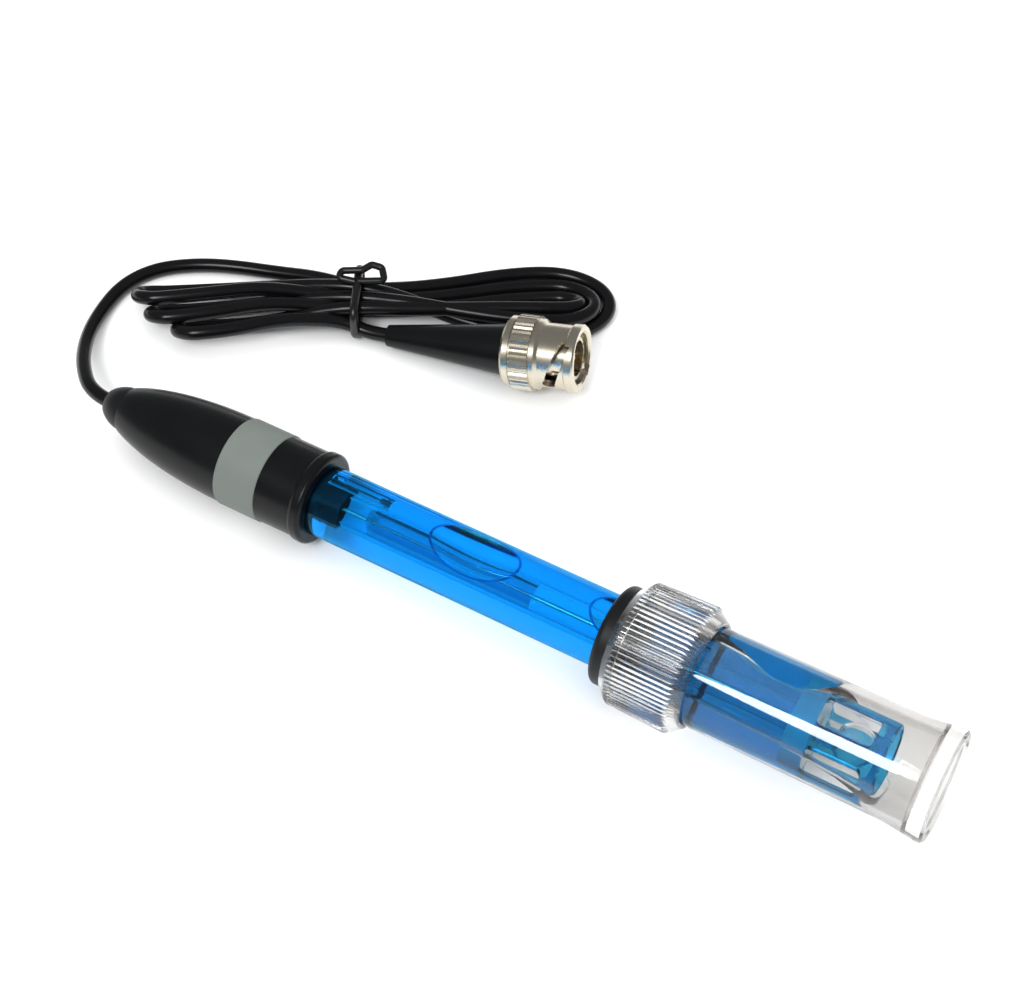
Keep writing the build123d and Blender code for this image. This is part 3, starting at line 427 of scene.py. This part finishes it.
# %% [markdown]
# A clear shader bends the rays that the camera sends. Lamps' light would stop at it and leave dark shadows in the
# liquid and on the bench, so for rays that look for lamps the same surface is see-through, with its tint.

# %% Refractive steps and tints
AIR_TO_PLASTIC = 1.5
AIR_TO_WATER = 1.34
AIR_TO_GEL = 1.37
PLASTIC_TO_WATER = AIR_TO_PLASTIC / AIR_TO_WATER
PLASTIC_TO_GEL = AIR_TO_PLASTIC / AIR_TO_GEL
CLEAR = (1.0, 1.0, 1.0, 1.0)
BLUE_WALL = (0.22, 0.69, 0.89, 1.0)
# Painted shade: a darker blue that draws the dark line round each bubble's rim.
BLUE_RIM_SHADE = (0.03, 0.3, 0.62, 1.0)
BLUE_LIGHT = (0.98, 0.99, 1.0, 1.0)
# A purplish grey tint for the stem's bore along its air column.
AIR_COLUMN_TINT = (0.83, 0.8, 0.87, 1.0)
# Painted shade: grey tints that darken the bottle's and the collar's clear walls in place of real shadows.
BOTTLE_PAINTED_SHADE = (0.83, 0.823, 0.815, 1.0)
COLLAR_PAINTED_SHADE = (0.95, 0.948, 0.945, 1.0)
WALL_LAMP_TINT = (0.96, 0.96, 0.96, 1.0)


def see_through_to_lamps(tree, shader, tint):
    """End a clear material: the shader as it is, but only tinted for rays that look for lamps."""
    path = add(tree, "LightPath")
    open_way = add(tree, "BsdfTransparent", {"Color": tint})
    chosen = add(tree, "MixShader", {}, {0: path.outputs["Is Shadow Ray"], 1: shader, 2: open_way})
    add(tree, "OutputMaterial", links={"Surface": chosen})


# %% [markdown]
# The body tube is moulded in clear blue polycarbonate. Two flat bubbles lie under its top in the gel: there the
# bore's wall has air behind it and mirrors more. Each bubble is a stretched ball whose middle lies above the tube.
# At its rim the gel climbs the wall and bends light away, which shows as a thin dark line; here that line is painted
# shade, a darker blue tint on the wall in a thin shell at each bubble's edge.

# %% The blue body tube
BUBBLES = [(79.1, 17.6), (110.2, 17.2)]
BUBBLE_LEVEL = 2.75
BUBBLE_BULGE = 9.5
bubble_lift = BUBBLE_LEVEL + BUBBLE_BULGE
bubble_cut = math.sqrt(1 - ((bubble_lift - BORE_RADIUS) / BUBBLE_BULGE) ** 2)
blue_plastic, tree = new_material("blue_polycarbonate")
place = add(tree, "Group", {"node_tree": place_group})
wet = add(tree, "Group", {"node_tree": wet_group})
spot = add(tree, "TexCoord").outputs["Object"]
dry_bore = add(tree, "Math", {"operation": "GREATER_THAN", 1: WINDOW_STATION}, {0: place.outputs["Station"]})
rim = add(tree, "Math", {"operation": "MULTIPLY", 1: 0.0}, {0: dry_bore})
for middle, length in BUBBLES:
    centre = on_probe(middle, bubble_lift)
    offset = add(tree, "VectorMath", {"operation": "SUBTRACT", 1: tuple(centre)}, {0: spot})
    shares = []
    for direction, half in (
        (probe_axis, length / 2 / bubble_cut),
        (up_axis, BUBBLE_BULGE),
        (side_axis, BUBBLE_BULGE),
    ):
        scaled = tuple(direction / (half * MM))
        shares.append(add(tree, "VectorMath", {"operation": "DOT_PRODUCT", 1: scaled}, {0: offset}))
    ball = add(tree, "CombineXYZ", {}, {i: share.outputs["Value"] for i, share in enumerate(shares)})
    reach = add(tree, "VectorMath", {"operation": "LENGTH"}, {0: ball})
    inside = add(tree, "Math", {"operation": "LESS_THAN", 1: 1.0}, {0: reach.outputs["Value"]})
    dry_bore = add(tree, "Math", {"operation": "MAXIMUM"}, {0: dry_bore, 1: inside})
    edge = add(tree, "Group", {"node_tree": zone_group, "Low": 0.97, "High": 1.0}, {"Value": reach.outputs["Value"]})
    rim = add(tree, "Math", {"operation": "MAXIMUM"}, {0: rim, 1: edge})
in_air =add(tree, "BsdfGlass", {"IOR": AIR_TO_PLASTIC, "Color": BLUE_WALL, "Roughness": 0.0})
in_gel = add(tree, "BsdfGlass", {"IOR": PLASTIC_TO_GEL, "Color": BLUE_WALL, "Roughness": 0.0})
in_water = add(tree, "BsdfGlass", {"IOR": PLASTIC_TO_WATER, "Color": BLUE_WALL, "Roughness": 0.0})
outer = add(tree, "MixShader", {}, {0: wet, 1: in_air, 2: in_water})
# Painted shade: darker blue glass in a thin shell at each bubble's edge draws its dark rim line.
painted_rim_shade = add(tree, "BsdfGlass", {"IOR": PLASTIC_TO_GEL, "Color": BLUE_RIM_SHADE, "Roughness": 0.0})
inner = add(tree, "MixShader", {}, {0: dry_bore, 1: in_gel, 2: in_air})
inner = add(tree, "MixShader", {}, {0: rim, 1: inner, 2: painted_rim_shade})
in_bore = add(tree, "Math", {"operation": "LESS_THAN", 1: 5.95}, {0: place.outputs["Radius"]})
see_through_to_lamps(tree, add(tree, "MixShader", {}, {0: in_bore, 1: outer, 2: inner}), BLUE_LIGHT)
dress(blue_plastic, "body_tube")

# %% [markdown]
# In the tube is a clear gel, and in the gel the glass stem, which has a column of air between its two slugs of
# solution. The stem's bore mirrors strongly along that column and hardly shows beyond it. Along the column the
# bore's glass is tinted a purplish grey, which dims it a little.

# %% The gel, the stem and its solution
STEM_BORE = 1.65
AIR_START = 58.6
AIR_END = 91.2
FILM = 0.03

gel_clear, tree = new_material("clear_reference_gel")
place = add(tree, "Group", {"node_tree": place_group})
limits = {"node_tree": zone_group, "Low": 2.7, "High": BORE_RADIUS - 2 * FILM}
bubble_face = add(tree, "Group", limits, {"Value": place.outputs["Radius"]})
open_way = add(tree, "BsdfTransparent", {"Color": CLEAR})
skin = add(tree, "BsdfGlass", {"IOR": AIR_TO_GEL, "Color": CLEAR, "Roughness": 0.0})
see_through_to_lamps(tree, add(tree, "MixShader", {}, {0: bubble_face, 1: open_way, 2: skin}), CLEAR)
dress(gel_clear, "reference_gel")

stem_glass, tree = new_material("drawn_borosilicate_glass")
place = add(tree, "Group", {"node_tree": place_group})
in_bore = add(tree, "Math", {"operation": "LESS_THAN", 1: 1.9}, {0: place.outputs["Radius"]})
limits = {"node_tree": zone_group, "Low": AIR_START, "High": AIR_END}
at_air = add(tree, "Group", limits, {"Value": place.outputs["Station"]})
past_gel = add(tree, "Math", {"operation": "GREATER_THAN", 1: WINDOW_STATION}, {0: place.outputs["Station"]})
in_air = add(tree, "BsdfGlass", {"IOR": AIR_TO_PLASTIC, "Color": CLEAR, "Roughness": 0.0})
in_gel = add(tree, "BsdfGlass", {"IOR": PLASTIC_TO_GEL, "Color": CLEAR, "Roughness": 0.0})
in_water = add(tree, "BsdfGlass", {"IOR": PLASTIC_TO_WATER, "Color": CLEAR, "Roughness": 0.0})
tinted_at_air = add(tree, "BsdfGlass", {"IOR": AIR_TO_PLASTIC, "Color": AIR_COLUMN_TINT, "Roughness": 0.0})
inner = add(tree, "MixShader", {}, {0: at_air, 1: in_water, 2: tinted_at_air})
outer = add(tree, "MixShader", {}, {0: past_gel, 1: in_gel, 2: in_air})
see_through_to_lamps(tree, add(tree, "MixShader", {}, {0: in_bore, 1: outer, 2: inner}), CLEAR)
dress(stem_glass, "glass_stem")

buffer_clear, tree = new_material("stem_solution")
place = add(tree, "Group", {"node_tree": place_group})
limits = {"node_tree": zone_group, "Low": AIR_START - 1.4, "High": AIR_END + 0.1}
at_air = add(tree, "Group", limits, {"Value": place.outputs["Station"]})
off_wall = add(tree, "Math", {"operation": "LESS_THAN", 1: STEM_BORE - 1.5 * FILM}, {0: place.outputs["Radius"]})
meniscus = add(tree, "Math", {"operation": "MULTIPLY"}, {0: at_air, 1: off_wall})
open_way = add(tree, "BsdfTransparent", {"Color": CLEAR})
skin = add(tree, "BsdfGlass", {"IOR": AIR_TO_WATER, "Color": CLEAR, "Roughness": 0.0})
see_through_to_lamps(tree, add(tree, "MixShader", {}, {0: meniscus, 1: open_way, 2: skin}), CLEAR)
dress(buffer_clear, "stem_buffer")

sheath_clear, tree = new_material("clear_sheath_tubing")
wall = add(tree, "BsdfGlass", {"IOR": PLASTIC_TO_GEL, "Color": CLEAR, "Roughness": 0.0})
see_through_to_lamps(tree, wall, CLEAR)
dress(sheath_clear, "reference_sheath")

# %% [markdown]
# The storage bottle and its collar are moulded in clear polystyrene. Their walls carry a grey tint that is painted
# shade: it darkens them where real shadows and the light lost at their many surfaces would.
# The bottle's bore hardly shows where the solution wets it.

# %% The storage bottle and collar
bottle_clear, tree = new_material("clear_polystyrene")
place = add(tree, "Group", {"node_tree": place_group})
wet = add(tree, "Group", {"node_tree": wet_group})
in_bore = add(tree, "Math", {"operation": "LESS_THAN", 1: 8.2}, {0: place.outputs["Radius"]})
wet_bore = add(tree, "Math", {"operation": "MULTIPLY"}, {0: in_bore, 1: wet})
# The grey wall tint here is painted shade.
in_air = add(tree, "BsdfGlass", {"IOR": AIR_TO_PLASTIC, "Color": BOTTLE_PAINTED_SHADE, "Roughness": 0.0})
in_water = add(tree, "BsdfGlass", {"IOR": PLASTIC_TO_WATER, "Color": BOTTLE_PAINTED_SHADE, "Roughness": 0.0})
see_through_to_lamps(tree, add(tree, "MixShader", {}, {0: wet_bore, 1: in_air, 2: in_water}), WALL_LAMP_TINT)
dress(bottle_clear, "storage_bottle")

collar_clear, tree = new_material("clear_knurled_polystyrene")
# The grey wall tint here is painted shade.
wall = add(tree, "BsdfGlass", {"IOR": AIR_TO_PLASTIC, "Color": COLLAR_PAINTED_SHADE, "Roughness": 0.06})
see_through_to_lamps(tree, wall, WALL_LAMP_TINT)
dress(collar_clear, "storage_collar")

# %% [markdown]
# The solution is a curved sheet of liquid in the gap between the tube and the bottle. A flat grid is added, its
# rows are laid along the probe and its columns round it, and it is extruded inwards. Its walls touch plastic and
# stay invisible. Only the free edge, where it meets the air pocket, gets a skin that bends light.

# %% The storage solution
ROWS = 90
COLUMNS = 72
LIQUID_START = MOUTH_STATION + 0.05
LIQUID_END = DRY_END - 0.1
BORE_AT_MOUTH = 7.45
BORE_AT_FLOOR = 7.85
BORE_END_STATION = 162.4


def bore_radius(station):
    """Radius of the bottle's bore, which tapers a little towards its mouth."""
    share = (station - MOUTH_STATION) / (BORE_END_STATION - MOUTH_STATION)
    return BORE_AT_MOUTH + (BORE_AT_FLOOR - BORE_AT_MOUTH) * share


bpy.ops.object.select_all(action="DESELECT")
bpy.ops.mesh.primitive_grid_add(x_subdivisions=ROWS, y_subdivisions=COLUMNS, size=2.0, location=(0, 0, 0))
solution = bpy.context.object
solution.name = "storage_solution"
bpy.ops.object.mode_set(mode="EDIT")
bpy.ops.mesh.select_all(action="SELECT")
bpy.ops.mesh.extrude_region_move(TRANSFORM_OT_translate={"value": (0, 0, -1)})
bpy.ops.object.mode_set(mode="OBJECT")
for vertex in solution.data.vertices:
    along, around, depth = vertex.co
    station = LIQUID_START + (LIQUID_END - LIQUID_START) * (along + 1) / 2
    near = edge_angle(NEAR_EDGE, station)
    far = 360 - edge_angle(FAR_EDGE, station)
    turn = near + (far - near) * (around + 1) / 2
    radius = bore_radius(station) - FILM if depth > -0.5 else TUBE_IN_CAP + FILM
    vertex.co = on_probe(station, radius, turn)
bpy.ops.object.mode_set(mode="EDIT")
bpy.ops.mesh.select_all(action="SELECT")
bpy.ops.mesh.normals_make_consistent(inside=False)
bpy.ops.object.mode_set(mode="OBJECT")
bpy.ops.object.shade_smooth_by_angle(angle=math.radians(40))
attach(solution, "bottle")

solution_clear, tree = new_material("storage_solution")
place = add(tree, "Group", {"node_tree": place_group})
open_way = add(tree, "BsdfTransparent", {"Color": CLEAR})
skin = add(tree, "BsdfGlass", {"IOR": AIR_TO_WATER, "Color": CLEAR, "Roughness": 0.0})
taper = {
    "From Min": MOUTH_STATION,
    "From Max": BORE_END_STATION,
    "To Min": BORE_AT_MOUTH - 2 * FILM,
    "To Max": BORE_AT_FLOOR - 2 * FILM,
}
near_bore = add(tree, "MapRange", taper, {"Value": place.outputs["Station"]})
limits = {"node_tree": zone_group, "Low": TUBE_IN_CAP + 2 * FILM}
free_edge = add(tree, "Group", limits, {"Value": place.outputs["Radius"], "High": near_bore})
see_through_to_lamps(tree, add(tree, "MixShader", {}, {0: free_edge, 1: open_way, 2: skin}), CLEAR)
solution.data.materials.append(solution_clear)
print("solution faces", len(solution.data.polygons))

# %% [markdown]
# The bench is plain and white, and so bright in the picture that its shadows are nearly washed out. Black plastic
# shows what it mirrors, so the room above stays dark, and the light that fills the bench can't be seen in
# reflections. One oval lamp near the camera can, and draws the long white streak on the bottle. Past the
# bench's edge the camera sees a white room, so every view has the same plain ground.

# %% The bench, the lamps and the room
bpy.ops.object.select_all(action="DESELECT")
bpy.ops.mesh.primitive_plane_add(size=6.0, location=(0, 0, -0.0002))
bench = bpy.context.object
bench.name = "bench"
bench_white, tree = new_material("bench_white")
bench_shader = add(tree, "BsdfDiffuse", {"Color": (0.86, 0.86, 0.86, 1.0)})
add(tree, "OutputMaterial", links={"Surface": bench_shader})
bench.data.materials.append(bench_white)

world = bpy.data.worlds.new("dim_room")
bpy.context.scene.world = world
world.use_nodes = True
tree = world.node_tree
tree.nodes["Background"].inputs["Color"].default_value = (0.95, 0.97, 1.0, 1.0)
path = add(tree, "LightPath")
glow = add(tree, "MapRange", {"To Min": 0.25, "To Max": 1.2}, {"Value": path.outputs["Is Camera Ray"]})
tree.links.new(glow.outputs[0], tree.nodes["Background"].inputs["Strength"])


def lamp(name, kind, power, place, size, mirrored):
    """Add a lamp that faces the middle of the bench. One that isn't mirrored is left out of reflections."""
    data = bpy.data.lights.new(name, kind)
    data.energy = power
    if kind == "AREA":
        data.shape = "ELLIPSE"
        data.size, data.size_y = size
    else:
        data.angle = size
    item = bpy.data.objects.new(name, data)
    bpy.context.scene.collection.objects.link(item)
    item.location = place
    item.rotation_euler = (-Vector(place)).to_track_quat("-Z", "Y").to_euler()
    item.visible_glossy = mirrored


lamp("bench_fill", "SUN", 3.4, (0.1, 0.2, 1.0), math.radians(120), False)
lamp("streak_lamp", "AREA", 5.5, (-0.06, -0.62, 0.79), (0.34, 0.4), True)

# %% Colour handling and bounces
scene = bpy.context.scene
scene.view_settings.view_transform = "Standard"
scene.view_settings.look = "None"
scene.cycles.max_bounces = 32
scene.cycles.transmission_bounces = 24
scene.cycles.transparent_max_bounces = 32
scene.cycles.glossy_bounces = 8
